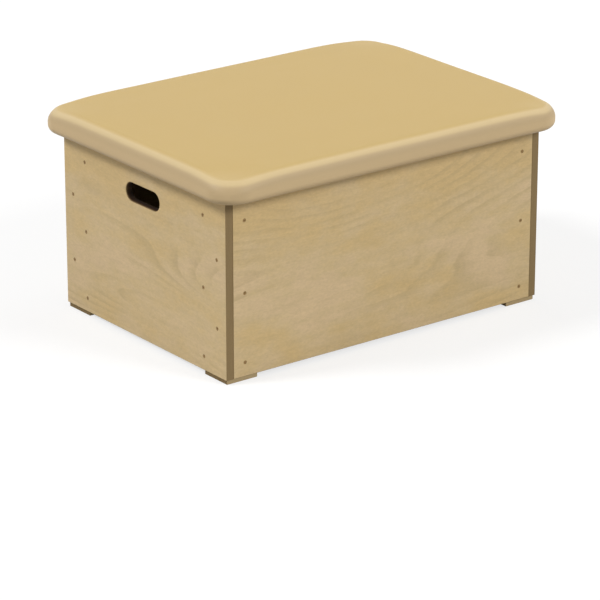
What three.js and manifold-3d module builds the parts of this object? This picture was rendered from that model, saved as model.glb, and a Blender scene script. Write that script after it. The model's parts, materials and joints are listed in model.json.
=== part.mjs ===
// A single-section gymnastics vaulting box: four birch plywood panels screwed to corner posts,
// on four wooden feet, with a padded top that lifts off. Millimetres, +Z up.
// The origin is on the floor, at the middle of the box. The long front panel faces -Y.
import * as THREE from 'three';
import { mergeVertices } from 'three/addons/utils/BufferGeometryUtils.js';
import Module from 'manifold-3d';

// Frame
const frameLength = 830;
const frameWidth = 582;
const panelHeight = 388;
const plyThickness = 18;
const edgeEase = 0.8;

// Hand hole in each end panel
const handHoleWidth = 120;
const handHoleHeight = 40;
const handHoleCentreHeight = 318;
const handHoleRound = 3;

// Corner posts inside the frame
const postLength = 45;
const postWidth = 75;
const postDrop = 6;

// Feet
const footLength = 77;
const footWidth = 77;
const footHeight = 10;
const footInset = 3;

// Countersunk screws
const screwHeadDiameter = 8;
const screwHeadDepth = 3;
const screwShankDiameter = 4;
const screwTipLength = 5;
const screwSink = 0.4;
const panelScrewBite = 22;
const footScrewBite = 20;
const battenScrewBite = 7;

// Screw rows, from the lower edge of a panel, and screw columns, from the outer corner of the frame
const innerRowShares = [0.079, 0.467, 0.869];
const outerRowShares = [0.272, 0.654];
const sideScrewColumn = 47;
const endScrewInnerColumn = 78;
const endScrewOuterColumn = 31;

// Padded top
const padOverhangLength = 38;
const padOverhangWidth = 50;
const padThickness = 58;
const padCornerRadius = 70;
const padBottomRound = 18;
const padSideBand = 8;
const padCrown = 2;
const padCornerDrop = 6;
const coverThickness = 1.5;
const hemSetback = 7;
const deckThickness = 12;
const deckInset = 22;

// Battens under the top, which locate it in the frame
const battenWidth = 30;
const battenDepth = 25;
const battenSideClearance = 2;
const battenEndClearance = 3;
const battenScrewShares = [-0.38, 0, 0.38];

// Fits and faceting
const clearance = 0.3;
const overrun = 5;
const easeCornerShare = 0.5;
const screwSides = 10;
const padCornerSteps = 8;
const topRoundSteps = 6;
const bottomRoundSteps = 4;
const crownRingShares = [0.86, 0.6, 0.3];
const cornerFadePower = 6;
const hemCornerShare = 3;
const handHoleEndSteps = 10;
const handHoleRoundSteps = 3;

// Levels and faces that several pieces share
const halfLength = frameLength / 2;
const halfWidth = frameWidth / 2;
const panelBottom = footHeight;
const panelTop = panelBottom + panelHeight;
const innerHalfLength = halfLength - plyThickness;
const innerHalfWidth = halfWidth - plyThickness;
const padHalfLength = halfLength + padOverhangLength;
const padHalfWidth = halfWidth + padOverhangWidth;
const deckBottom = panelTop;
const deckTop = deckBottom + deckThickness;
const padBottom = deckBottom - coverThickness;
const padTop = padBottom + padThickness;
const padTopRound = padThickness - padCrown - padSideBand - padBottomRound;
const hemWidth = Math.min(padOverhangLength, padOverhangWidth) - hemSetback;

const wasm = await Module();
wasm.setup();

const birchFace = { color: 0xc6ae80, roughness: 0.55, metalness: 0 };
const birchPost = { color: 0xc2a878, roughness: 0.7, metalness: 0 };
const footWood = { color: 0x7a6440, roughness: 0.75, metalness: 0 };
const deckPly = { color: 0xb89c6c, roughness: 0.75, metalness: 0 };
const paddingFoam = { color: 0xd9d2b0, roughness: 0.95, metalness: 0 };
const coverSuede = { color: 0xd4ba86, roughness: 0.8, metalness: 0 };
const screwSteel = { color: 0x8a7f66, roughness: 0.4, metalness: 0.9 };

// A closed mesh whose vertices are shared, as a solid for cutting.
function toSolid(geometry) {
  const shared = geometry.clone();
  shared.deleteAttribute('normal');
  shared.deleteAttribute('uv');
  const merged = mergeVertices(shared);
  return new wasm.Manifold(new wasm.Mesh({
    numProp: 3,
    vertProperties: merged.attributes.position.array,
    triVerts: Uint32Array.from(merged.index.array),
  }));
}

function toGeometry(solid) {
  const mesh = solid.getMesh();
  const geometry = new THREE.BufferGeometry();
  geometry.setAttribute('position', new THREE.BufferAttribute(mesh.vertProperties, 3));
  geometry.setIndex(new THREE.BufferAttribute(mesh.triVerts, 1));
  geometry.computeVertexNormals();
  return geometry;
}

function cut(geometry, cutters) {
  return toGeometry(cutters.reduce((solid, cutter) => solid.subtract(toSolid(cutter)), toSolid(geometry)));
}

// Joins rings of equal count into one closed skin, and closes its ends on two given points. The first
// bands can have their diagonals turned, so that a lining built downwards folds as the skin over it does.
function loft(rings, firstPoint, lastPoint, turnedBands = 0) {
  const count = rings[0].length;
  const points = [...rings.flat(), firstPoint, lastPoint];
  const first = points.length - 2;
  const last = points.length - 1;
  const index = [];
  for (let corner = 0; corner < count; corner += 1) {
    const next = (corner + 1) % count;
    index.push(first, next, corner);
    for (let ring = 0; ring < rings.length - 1; ring += 1) {
      const low = ring * count;
      const high = low + count;
      if (ring < turnedBands) {
        index.push(low + corner, low + next, high + corner);
        index.push(low + next, high + next, high + corner);
      } else {
        index.push(low + corner, low + next, high + next);
        index.push(low + corner, high + next, high + corner);
      }
    }
    const top = (rings.length - 1) * count;
    index.push(last, top + corner, top + next);
  }
  const geometry = new THREE.BufferGeometry();
  geometry.setFromPoints(points);
  geometry.setIndex(index);
  geometry.computeVertexNormals();
  return geometry;
}

// A level ring: a rectangle with round corners, or with cut corners where there is one step.
function roundedRing(halfX, halfY, radius, steps, height) {
  const ring = [];
  const corners = [[1, 1], [-1, 1], [-1, -1], [1, -1]];
  corners.forEach(([signX, signY], quarter) => {
    for (let step = 0; step <= steps; step += 1) {
      const angle = (quarter + step / steps) * Math.PI / 2;
      const x = signX * (halfX - radius) + radius * Math.cos(angle);
      const y = signY * (halfY - radius) + radius * Math.sin(angle);
      ring.push(new THREE.Vector3(x, y, height));
    }
  });
  return ring;
}

// A board about the origin of its mesh, with its edges eased.
function easedBoard(length, width, height) {
  const halfX = length / 2;
  const halfY = width / 2;
  const halfZ = height / 2;
  const cornerEase = edgeEase * easeCornerShare;
  const rings = [
    roundedRing(halfX - edgeEase, halfY - edgeEase, cornerEase, 1, -halfZ),
    roundedRing(halfX, halfY, edgeEase, 1, edgeEase - halfZ),
    roundedRing(halfX, halfY, edgeEase, 1, halfZ - edgeEase),
    roundedRing(halfX - edgeEase, halfY - edgeEase, cornerEase, 1, halfZ),
  ];
  return loft(rings, new THREE.Vector3(0, 0, -halfZ), new THREE.Vector3(0, 0, halfZ));
}

// A countersunk screw along +Y from its head, which starts at the origin.
function screwGeometry(length) {
  const shank = screwShankDiameter / 2;
  const profile = [
    new THREE.Vector2(0, 0),
    new THREE.Vector2(screwHeadDiameter / 2, 0),
    new THREE.Vector2(shank, screwHeadDepth),
    new THREE.Vector2(shank, length - screwTipLength),
    new THREE.Vector2(0, length),
  ];
  return new THREE.LatheGeometry(profile, screwSides);
}

// The hole of the same screw: open past the face that it is driven into, and clear of it all round.
function screwHole(length) {
  const shank = screwShankDiameter / 2 + clearance;
  const head = screwHeadDiameter / 2 + clearance;
  const profile = [
    new THREE.Vector2(0, -overrun),
    new THREE.Vector2(head, -overrun),
    new THREE.Vector2(head, 0),
    new THREE.Vector2(shank, screwHeadDepth),
    new THREE.Vector2(shank, length + clearance),
    new THREE.Vector2(0, length + clearance),
  ];
  return new THREE.LatheGeometry(profile, screwSides);
}

// A screw starts a little below the face point, and points along the inward direction.
function makeScrew(name, facePoint, inward, length) {
  const direction = new THREE.Vector3(...inward);
  const start = new THREE.Vector3(...facePoint).addScaledVector(direction, screwSink);
  const turn = new THREE.Quaternion().setFromUnitVectors(new THREE.Vector3(0, 1, 0), direction);
  return { name, length, start, turn };
}

function holeFor(screw, pieceCentre) {
  const hole = screwHole(screw.length);
  hole.applyQuaternion(screw.turn);
  hole.translate(screw.start.x - pieceCentre.x, screw.start.y - pieceCentre.y, screw.start.z - pieceCentre.z);
  return hole;
}

const rowHeight = (share) => panelBottom + share * panelHeight;
const panelScrewLength = plyThickness + panelScrewBite - screwSink;
const sideName = { '-1': 'front', 1: 'back' };
const endName = { '-1': 'left', 1: 'right' };

// Six screws in each long panel: one column of three near each end.
function sidePanelScrews(signY) {
  const screws = [];
  [-1, 1].forEach((signX) => {
    innerRowShares.forEach((share) => {
      const point = [signX * (halfLength - sideScrewColumn), signY * halfWidth, rowHeight(share)];
      const name = `${sideName[signY]}_panel_screw_${screws.length + 1}`;
      screws.push({ ...makeScrew(name, point, [0, -signY, 0], panelScrewLength), signX, signY });
    });
  });
  return screws;
}

// Ten screws in each end panel: a zigzag of three and two up each post.
function endPanelScrews(signX) {
  const screws = [];
  const columns = [[endScrewInnerColumn, innerRowShares], [endScrewOuterColumn, outerRowShares]];
  [-1, 1].forEach((signY) => {
    columns.forEach(([column, shares]) => {
      shares.forEach((share) => {
        const point = [signX * halfLength, signY * (halfWidth - column), rowHeight(share)];
        const name = `${endName[signX]}_panel_screw_${screws.length + 1}`;
        screws.push({ ...makeScrew(name, point, [-signX, 0, 0], panelScrewLength), signX, signY });
      });
    });
  });
  return screws;
}

const footCentre = (signX, signY) => new THREE.Vector3(
  signX * (halfLength - footInset - footLength / 2),
  signY * (halfWidth - footInset - footWidth / 2),
  footHeight / 2,
);

function footScrew(signX, signY) {
  const centre = footCentre(signX, signY);
  const name = `foot_screw_${sideName[signY]}_${endName[signX]}`;
  const length = footHeight + footScrewBite - screwSink;
  return { ...makeScrew(name, [centre.x, centre.y, 0], [0, 0, 1], length), signX, signY };
}

const battenLength = 2 * (innerHalfLength - postLength - battenEndClearance);
const battenCentre = (signY) => new THREE.Vector3(
  0,
  signY * (innerHalfWidth - battenSideClearance - battenWidth / 2),
  deckBottom - battenDepth / 2,
);

function battenScrews(signY) {
  const centre = battenCentre(signY);
  const length = battenDepth + battenScrewBite - screwSink;
  return battenScrewShares.map((share, place) => {
    const point = [share * battenLength, centre.y, deckBottom - battenDepth];
    const name = `${sideName[signY]}_batten_screw_${place + 1}`;
    return { ...makeScrew(name, point, [0, 0, 1], length), signY };
  });
}

// The hand hole is an upright slot with round ends, and both of its rims are rounded over.
function handHoleCutter() {
  const endRadius = handHoleHeight / 2;
  const straight = handHoleWidth / 2 - endRadius;
  const halfPly = plyThickness / 2;
  const ring = (x, grow) => {
    const points = [];
    [1, -1].forEach((sign, half) => {
      for (let step = 0; step <= handHoleEndSteps; step += 1) {
        const angle = (half + step / handHoleEndSteps) * Math.PI - Math.PI / 2;
        const y = sign * straight + (endRadius + grow) * Math.cos(angle);
        points.push(new THREE.Vector3(x, y, (endRadius + grow) * Math.sin(angle)));
      }
    });
    return points;
  };
  const rim = [];
  for (let step = 0; step <= handHoleRoundSteps; step += 1) {
    const angle = step / handHoleRoundSteps * Math.PI / 2;
    rim.push({
      depth: handHoleRound * (1 - Math.sin(angle)),
      grow: handHoleRound * (1 - Math.cos(angle)),
    });
  }
  const outwards = rim.map(({ depth, grow }) => ring(halfPly - depth, grow));
  const inwards = rim.map(({ depth, grow }) => ring(-halfPly + depth, grow)).reverse();
  const start = ring(-halfPly - overrun, handHoleRound);
  const end = ring(halfPly + overrun, handHoleRound);
  const first = new THREE.Vector3(-halfPly - overrun, 0, 0);
  const last = new THREE.Vector3(halfPly + overrun, 0, 0);
  return loft([start, ...inwards, ...outwards, end], first, last);
}

const model = new THREE.Group();

function addPiece(name, geometry, centre, finish) {
  const mesh = new THREE.Mesh(geometry, new THREE.MeshStandardMaterial(finish));
  mesh.name = name;
  mesh.position.copy(centre);
  model.add(mesh);
}

function addScrew(screw) {
  const mesh = new THREE.Mesh(screwGeometry(screw.length), new THREE.MeshStandardMaterial(screwSteel));
  mesh.name = screw.name;
  mesh.position.copy(screw.start);
  mesh.quaternion.copy(screw.turn);
  model.add(mesh);
}

const allSideScrews = [-1, 1].flatMap(sidePanelScrews);
const allEndScrews = [-1, 1].flatMap(endPanelScrews);

function addSidePanel(signY) {
  const centre = new THREE.Vector3(0, signY * (halfWidth - plyThickness / 2), panelBottom + panelHeight / 2);
  const board = easedBoard(2 * innerHalfLength, plyThickness, panelHeight);
  const screws = allSideScrews.filter((screw) => screw.signY === signY);
  const panel = cut(board, screws.map((screw) => holeFor(screw, centre)));
  addPiece(`${sideName[signY]}_side_panel`, panel, centre, birchFace);
}

function addEndPanel(signX) {
  const centre = new THREE.Vector3(signX * (halfLength - plyThickness / 2), 0, panelBottom + panelHeight / 2);
  const board = easedBoard(plyThickness, frameWidth, panelHeight);
  const handHole = handHoleCutter();
  handHole.translate(0, 0, handHoleCentreHeight - panelHeight / 2);
  const screws = allEndScrews.filter((screw) => screw.signX === signX);
  const panel = cut(board, [handHole, ...screws.map((screw) => holeFor(screw, centre))]);
  addPiece(`${endName[signX]}_end_panel`, panel, centre, birchFace);
}

function addCorner(signX, signY) {
  const corner = `${sideName[signY]}_${endName[signX]}`;
  const postHeight = panelHeight - postDrop;
  const postCentre = new THREE.Vector3(
    signX * (innerHalfLength - postLength / 2),
    signY * (innerHalfWidth - postWidth / 2),
    panelBottom + postHeight / 2,
  );
  const baseScrew = footScrew(signX, signY);
  const here = (screw) => screw.signX === signX && screw.signY === signY;
  const screws = [...allSideScrews, ...allEndScrews].filter(here).concat(baseScrew);
  const post = cut(easedBoard(postLength, postWidth, postHeight), screws.map((screw) => holeFor(screw, postCentre)));
  addPiece(`corner_post_${corner}`, post, postCentre, birchPost);

  const centre = footCentre(signX, signY);
  const foot = cut(easedBoard(footLength, footWidth, footHeight), [holeFor(baseScrew, centre)]);
  addPiece(`foot_${corner}`, foot, centre, footWood);
  addScrew(baseScrew);
}

function addBatten(signY) {
  const centre = battenCentre(signY);
  const screws = battenScrews(signY);
  const batten = cut(
    easedBoard(battenLength, battenWidth, battenDepth),
    screws.map((screw) => holeFor(screw, centre)),
  );
  addPiece(`${sideName[signY]}_batten`, batten, centre, birchPost);
  screws.forEach(addScrew);
}

// The outline of the pad at some distance inside its widest line.
function padRing(inset, height) {
  const radius = padCornerRadius - inset;
  return roundedRing(padHalfLength - inset, padHalfWidth - inset, radius, padCornerSteps, height);
}

// The inner edge of the hem turns the frame's square corners on a small radius, clear of them.
function hemRing(height) {
  const radius = hemCornerShare * hemSetback;
  return roundedRing(padHalfLength - hemWidth, padHalfWidth - hemWidth, radius, padCornerSteps, height);
}

// The cover draws the top edge down at the corners, most at the middle of each corner's arc.
function drawCornersDown(ring, share) {
  ring.forEach((point, place) => {
    const alongCorner = (place % (padCornerSteps + 1)) / padCornerSteps;
    point.z -= padCornerDrop * share * Math.sin(alongCorner * Math.PI) ** 2;
  });
  return ring;
}

// The skin of the pad, a given depth inside its outer face, from the bottom edge up to the crown.
function padSkin(depth) {
  const rings = [];
  const bottomRadius = padBottomRound - depth;
  const topRadius = padTopRound - depth;
  for (let step = 0; step <= bottomRoundSteps; step += 1) {
    const angle = step / bottomRoundSteps * Math.PI / 2;
    const inset = padBottomRound - bottomRadius * Math.sin(angle);
    rings.push(padRing(inset, padBottom + padBottomRound - bottomRadius * Math.cos(angle)));
  }
  for (let step = 0; step <= topRoundSteps; step += 1) {
    const angle = step / topRoundSteps * Math.PI / 2;
    const inset = padTopRound - topRadius * Math.cos(angle);
    const ring = padRing(inset, padTop - padCrown - padTopRound + topRadius * Math.sin(angle));
    rings.push(drawCornersDown(ring, Math.sin(angle)));
  }
  const shoulder = rings[rings.length - 1];
  const crownHeight = (share) => padTop - depth - padCrown * share * share;
  crownRingShares.forEach((share) => {
    const ring = shoulder.map((point) => new THREE.Vector3(point.x * share, point.y * share, crownHeight(share)));
    rings.push(drawCornersDown(ring, share ** cornerFadePower));
  });
  return { rings, peak: new THREE.Vector3(0, 0, crownHeight(0)) };
}

function addPaddedTop() {
  const deckLift = new THREE.Vector3(0, 0, (deckBottom + deckTop) / 2);
  const deckHalfZ = deckThickness / 2;
  const deckRings = [
    padRing(deckInset + edgeEase, -deckHalfZ),
    padRing(deckInset, edgeEase - deckHalfZ),
    padRing(deckInset, deckHalfZ - edgeEase),
    padRing(deckInset + edgeEase, deckHalfZ),
  ];
  const deck = loft(deckRings, new THREE.Vector3(0, 0, -deckHalfZ), new THREE.Vector3(0, 0, deckHalfZ));
  const screws = [-1, 1].flatMap(battenScrews);
  const drilledDeck = cut(deck, screws.map((screw) => holeFor(screw, deckLift)));
  addPiece('deck_board', drilledDeck, deckLift, deckPly);

  const pocket = [padRing(deckInset - clearance, deckTop), padRing(deckInset - clearance, deckBottom + clearance)];
  const foamSkin = padSkin(coverThickness + clearance);
  const foam = loft([...pocket, ...foamSkin.rings], new THREE.Vector3(0, 0, deckTop), foamSkin.peak);
  addPiece('foam_pad', foam, new THREE.Vector3(), paddingFoam);

  const outer = padSkin(0);
  const inner = padSkin(coverThickness);
  const hem = [hemRing(deckBottom), hemRing(padBottom)];
  const lining = inner.rings.reverse();
  const cover = loft([...lining, ...hem, ...outer.rings], inner.peak, outer.peak, lining.length - 1);
  addPiece('pad_cover', cover, new THREE.Vector3(), coverSuede);
}

[-1, 1].forEach(addSidePanel);
[-1, 1].forEach(addEndPanel);
[-1, 1].forEach((signX) => [-1, 1].forEach((signY) => addCorner(signX, signY)));
[...allSideScrews, ...allEndScrews].forEach(addScrew);
addPaddedTop();
[-1, 1].forEach(addBatten);

export default model;
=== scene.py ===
"""A gymnastics vaulting box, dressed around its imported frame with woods, padded top, screws and staples."""

import collections
import functools
import json
import math

import bmesh
import bpy
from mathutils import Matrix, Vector, kdtree, noise


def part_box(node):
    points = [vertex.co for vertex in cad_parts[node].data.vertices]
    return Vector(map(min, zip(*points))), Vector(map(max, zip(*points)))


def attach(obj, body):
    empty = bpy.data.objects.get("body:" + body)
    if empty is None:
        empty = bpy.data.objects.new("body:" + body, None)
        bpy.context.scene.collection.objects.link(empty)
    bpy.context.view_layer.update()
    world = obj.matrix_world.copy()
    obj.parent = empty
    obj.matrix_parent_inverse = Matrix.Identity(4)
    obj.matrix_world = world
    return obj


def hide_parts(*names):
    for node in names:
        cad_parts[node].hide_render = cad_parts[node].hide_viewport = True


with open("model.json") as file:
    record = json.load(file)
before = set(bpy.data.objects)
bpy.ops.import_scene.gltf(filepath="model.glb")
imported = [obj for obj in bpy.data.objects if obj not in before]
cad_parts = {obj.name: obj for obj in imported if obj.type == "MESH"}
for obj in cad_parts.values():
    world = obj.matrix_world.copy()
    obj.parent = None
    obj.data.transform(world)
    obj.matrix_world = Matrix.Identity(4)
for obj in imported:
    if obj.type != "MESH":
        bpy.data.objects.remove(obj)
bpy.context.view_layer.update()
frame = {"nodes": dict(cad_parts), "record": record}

bl_info = {
    "name": "Vaulting Box",
    "version": (1, 0, 0),
    "blender": (4, 5, 0),
    "location": "3D View > Sidebar > Vaulting Box",
    "description": "Gives the packed frame of a vaulting box its woods, padded top, screws and staples",
    "category": "Object",
}

# What the frame says, in metres
COVER_LOW, COVER_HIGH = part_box("pad_cover")
DECK_LOW, DECK_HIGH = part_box("deck_board")
SIDE_LOW, SIDE_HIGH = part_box("front_side_panel")
COVER_THICKNESS = DECK_LOW.z - COVER_LOW.z
SHEET = SIDE_HIGH.y - SIDE_LOW.y
FRAME_HALF_DEPTH = -SIDE_LOW.y
SCREW_NODES = [name for name in sorted(frame["nodes"]) if "_screw_" in name]
HAND_HOLE = next(place for place in frame["record"]["physics"]["openings"]
                 if place["name"] == "left_hand_hole")

# Steps round a corner, along a long and a short side, over the lower and the upper edge, and up the crown
Fineness = collections.namedtuple("Fineness", "corner long short bottom top crown")
COVER_FINENESS = Fineness(corner=35, long=44, short=32, bottom=14, top=26, crown=18)
CLOTH_FINENESS = COVER_FINENESS._replace(bottom=6, top=10, crown=12)
FOAM_FINENESS = Fineness(corner=12, long=20, short=14, bottom=6, top=10, crown=10)

# How many cells of the cloth a point's move is evened out over, and how many times that still counts
SETTLE_SPREAD = 1.2
SETTLE_REACH = 2.5
CLOTH_FRAMES = 20

# Room between the foam and what it touches, and how far the hem's folded band stands out downwards
CLOSE_FIT = 0.0003
HEM_FOLD_DEPTH = COVER_THICKNESS * 0.6

# Rings along a screw and for each turn of its thread, and the sides of round things
SCREW_RINGS = 64
THREAD_PITCH_RINGS = 4
SCREW_SIDES = 24
SHADOW_RING_SIDES = 20
WIRE_SIDES = 8
FLOOR_SIDES = 64

# The most that a staple is out of line, in radians
STAPLE_SKEW = 0.16

# Each lamp's azimuth, elevation and spread in degrees. The stage has a strength of the same name.
LAMPS = {"front": (22.0, 31.5, 18.0), "left": (-112.0, 44.0, 16.0), "right": (90.0, 42.0, 24.0),
         "back": (180.0, 36.0, 24.0)}
LAMP_DISTANCE = 5.0
WHITE = (1.0, 1.0, 1.0, 1.0)


def colour(red, green, blue):
    """A colour as a screen shows it, 0 to 255 a channel, as the linear numbers that shaders use."""
    shown = [channel / 255 for channel in (red, green, blue)]
    return tuple(((c + 0.055) / 1.055) ** 2.4 if c > 0.04045 else c / 12.92 for c in shown)


def length_setting(name, description, default):
    return bpy.props.FloatProperty(name=name, description=description, default=default, min=0.0,
                                   precision=4, subtype="DISTANCE", unit="LENGTH")


def angle_setting(name, description, degrees):
    return bpy.props.FloatProperty(name=name, description=description, default=math.radians(degrees),
                                   subtype="ANGLE")


def number_setting(name, description, default):
    return bpy.props.FloatProperty(name=name, description=description, default=default, min=0.0)


def count_setting(name, description, default):
    return bpy.props.IntProperty(name=name, description=description, default=default, min=0)


def colour_setting(name, description, red, green, blue):
    return bpy.props.FloatVectorProperty(name=name, description=description, subtype="COLOR", size=3,
                                         default=colour(red, green, blue), min=0.0, max=1.0)


class WoodSettings(bpy.types.PropertyGroup):
    """Colours and grain sizes of the plywood, the timber and the feet."""
    face_plain: colour_setting("Birch face", "Plain tone of the birch veneer", 202, 178, 135)
    face_golden: colour_setting("Golden patches", "Warm patches of the veneer", 202, 174, 122)
    face_rosy: colour_setting("Rosy patches", "Pinkish patches of the veneer", 208, 182, 143)
    face_line: colour_setting("Growth lines", "Thin darker lines of the veneer's figure", 176, 153, 111)
    edge_light: colour_setting("Light plies", "Long-grain plies on the cut edges", 147, 124, 85)
    edge_dark: colour_setting("Dark plies", "End-grain plies and glue on the cut edges", 117, 96, 61)
    # Handled edge: hand wear on the hole's cut edges, and painted shade for the inside of the hand hole.
    handled_and_shaded: colour_setting("Handled edge", "Cut edges that hands have darkened", 70, 46, 28)
    ply: length_setting("Ply", "Thickness of one ply", 0.0014)
    line_spacing: length_setting("Growth line spacing", "Usual distance between growth lines", 0.014)
    timber_light: colour_setting("Early wood", "Light rings of the posts and battens", 212, 184, 138)
    timber_dark: colour_setting("Late wood", "Dark rings of the posts and battens", 178, 141, 92)
    timber_ring: length_setting("Timber ring", "Distance between rings in the posts and battens", 0.0036)
    foot_side: colour_setting("Foot side", "Long-grain sides of the feet", 176, 155, 116)
    foot_end: colour_setting("Foot end", "End-grain sides of the feet", 112, 91, 55)
    foot_hatch: length_setting("Foot hatch", "Distance between slanting bands on the end grain", 0.0042)
    deck_face: colour_setting("Deck face", "Veneer of the deck board", 187, 160, 116)


class PadSettings(bpy.types.PropertyGroup):
    """Form and colours of the padded top."""
    top_round: length_setting("Top round", "Radius over the upper edge", 0.033)
    top_fullness: number_setting("Top fullness", "Two is a plain round, more is a fuller edge", 2.3)
    corner_fullness: number_setting("Corner fullness", "Top fullness at the corners, less is softer", 1.65)
    bottom_round: length_setting("Bottom round", "Radius under the lower edge", 0.019)
    corner_bottom: length_setting("Corner bottom round", "Bottom round at the corners", 0.0162)
    corner_radius: length_setting("Corner radius", "Radius of the corners seen from above", 0.0665)
    rim_corner: length_setting("Upper corner radius", "Corner radius of the flat top from above", 0.014)
    crown: length_setting("Crown", "Rise of the middle over the edges before it settles", 0.001)
    corner_drop: length_setting("Corner drop", "How far the cover draws the corners down", 0.0067)
    corner_reach: length_setting("Corner reach", "How far along the sides the corners are softer", 0.060)
    slack: length_setting("Slack", "How much smaller the cover starts than it ends", 0.0003)
    cloth_cell: length_setting("Cloth cell", "Size of the cloth's cells while it settles", 0.012)
    cloth_pressure: number_setting("Pressure", "How hard the padding presses the cloth out", 4.0)
    cloth_reach: length_setting("Cloth reach", "The most that the cloth may move", 0.0022)
    unevenness: length_setting("Unevenness", "Gentle rise and fall of the cover", 0.0004)
    uneven_spacing: length_setting("Uneven spacing", "Distance over which the cover rises and falls", 0.16)
    hem_width: length_setting("Hem width", "How far the cover reaches in under the top", 0.031)
    hem_corner: length_setting("Hem corner", "Radius of the hem's inner corners", 0.021)
    hem_fold: length_setting("Hem fold", "Width of the folded band along the hem", 0.009)
    pleats: count_setting("Pleats", "Gathers in each corner of the hem", 7)
    pleat_depth: length_setting("Pleat depth", "Depth of the gathers at the hem's corners", 0.0022)
    cover_top: colour_setting("Cover", "The cover on the flat top", 190, 163, 105)
    # Painted light on the cover: a painted highlight over the upper edge, painted shade just under it, and
    # the sides' tone set for the light they get.
    cover_edge_highlight: colour_setting("Edge highlight", "The cover over the upper edge", 205, 182, 137)
    cover_turn_shade: colour_setting("Cover turn", "The cover just under its upper edge", 188, 164, 125)
    cover_side_shading: colour_setting("Cover sides", "The cover where it hangs down the sides", 203, 177, 135)
    foam: colour_setting("Foam", "The foam under the cover", 218, 206, 168)


class FixingSettings(bpy.types.PropertyGroup):
    """Sizes and colours of the screws and staples."""
    head_depth: length_setting("Head depth", "Depth of a screw's countersunk head", 0.003)
    shank: length_setting("Shank diameter", "Diameter of a screw's shank across its thread", 0.004)
    thread_depth: length_setting("Thread depth", "Height of a screw's thread", 0.00035)
    tip: length_setting("Tip length", "Length of a screw's point", 0.005)
    recess_width: length_setting("Recess width", "Driver recess from arm to arm", 0.0052)
    recess_depth: length_setting("Recess depth", "Depth of the driver recess", 0.0022)
    staple_width: length_setting("Staple width", "Crown of a staple", 0.010)
    staple_leg: length_setting("Staple leg", "Length of a staple's leg", 0.008)
    staple_wire: length_setting("Staple wire", "Thickness of a staple's wire", 0.0011)
    staple_spacing: length_setting("Staple spacing", "Distance from one staple to the next", 0.027)
    # The ring round each screw's head is painted shadow: a dark ring for the shade in the countersink's gap.
    rim_wire: length_setting("Rim", "Width of the crushed veneer round a screw's head", 0.0020)
    shadow_ring_tone: colour_setting("Rim tone", "Crushed, darkened veneer round a screw's head", 112, 88, 52)
    screw_metal: colour_setting("Screw metal", "Yellow passivated steel", 158, 130, 88)
    staple_metal: colour_setting("Staple metal", "Galvanised wire", 150, 148, 142)
    seed: count_setting("Seed", "Fixes the screws' turns and the staples' angles", 7)


class StageSettings(bpy.types.PropertyGroup):
    """Light, floor and camera."""
    floor_radius: length_setting("Floor radius", "Reach of the pale floor", 14.0)
    floor_colour: colour_setting("Floor", "Pale studio floor", 255, 255, 255)
    floor_bounce: colour_setting("Floor bounce", "The floor's tone for light it passes on", 180, 180, 178)
    floor_glow: number_setting("Floor glow", "Share of the floor that is plain white to the camera", 0.7)
    sky: number_setting("Sky", "Strength of the even light from all round", 0.30)
    front: number_setting("Front", "Strength of the low light on the long side", 1.68)
    left: number_setting("Left", "Strength of the low light on the left end", 2.0)
    right: number_setting("Right", "Strength of the light on the right end", 0.5)
    back: number_setting("Back", "Strength of the light on the back", 0.25)
    lens: bpy.props.FloatProperty(name="Lens", description="Focal length", default=202.945,
                                  subtype="DISTANCE_CAMERA")
    azimuth: angle_setting("Azimuth", "Camera's turn about the box", -37.32)
    elevation: angle_setting("Elevation", "Camera's height as an angle", 20.58)
    camera_place: bpy.props.FloatVectorProperty(name="Camera place", description="Where the camera stands",
                                                default=(-4.16946, -5.46200, 2.58571),
                                                subtype="TRANSLATION", unit="LENGTH")


def maths_method(operation, swapped=False):
    """A method of Socket that adds a Math node."""
    def method(self, *others):
        values = (*others, self) if swapped else (self, *others)
        return self.nodes.maths(operation, *values)
    return method


class Socket:
    """An output of a node. Maths written on it adds the Math nodes that work it out."""

    def __init__(self, nodes, output):
        self.nodes = nodes
        self.output = output

    def part(self, name):
        """Another output of the same node."""
        return Socket(self.nodes, find_socket(self.output.node.outputs, name))

    def rising(self, low, high, kind="LINEAR"):
        """Rises from 0 to 1 as this value goes from low to high."""
        return self.nodes.node("ShaderNodeMapRange", self, low, high, 0.0, 1.0, interpolation_type=kind)

    def smooth(self, low, high):
        """Rises softly from 0 to 1 as this value goes from low to high."""
        return self.rising(low, high, "SMOOTHSTEP")

    __abs__ = maths_method("ABSOLUTE")
    __add__ = maths_method("ADD")
    __radd__ = maths_method("ADD")
    __sub__ = maths_method("SUBTRACT")
    __rsub__ = maths_method("SUBTRACT", swapped=True)
    __mul__ = maths_method("MULTIPLY")
    __truediv__ = maths_method("DIVIDE")
    __pow__ = maths_method("POWER")
    __gt__ = maths_method("GREATER_THAN")


def find_socket(sockets, key):
    """A socket by its place, its identifier, or its name with _ for each space."""
    if isinstance(key, int):
        return sockets[key]
    for socket in sockets:
        if socket.identifier == key:
            return socket
    for socket in sockets:
        if socket.name.replace(" ", "_") == key and socket.enabled:
            return socket
    raise KeyError(f"{sockets[0].node.bl_idname} has no socket {key!r}")


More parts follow.
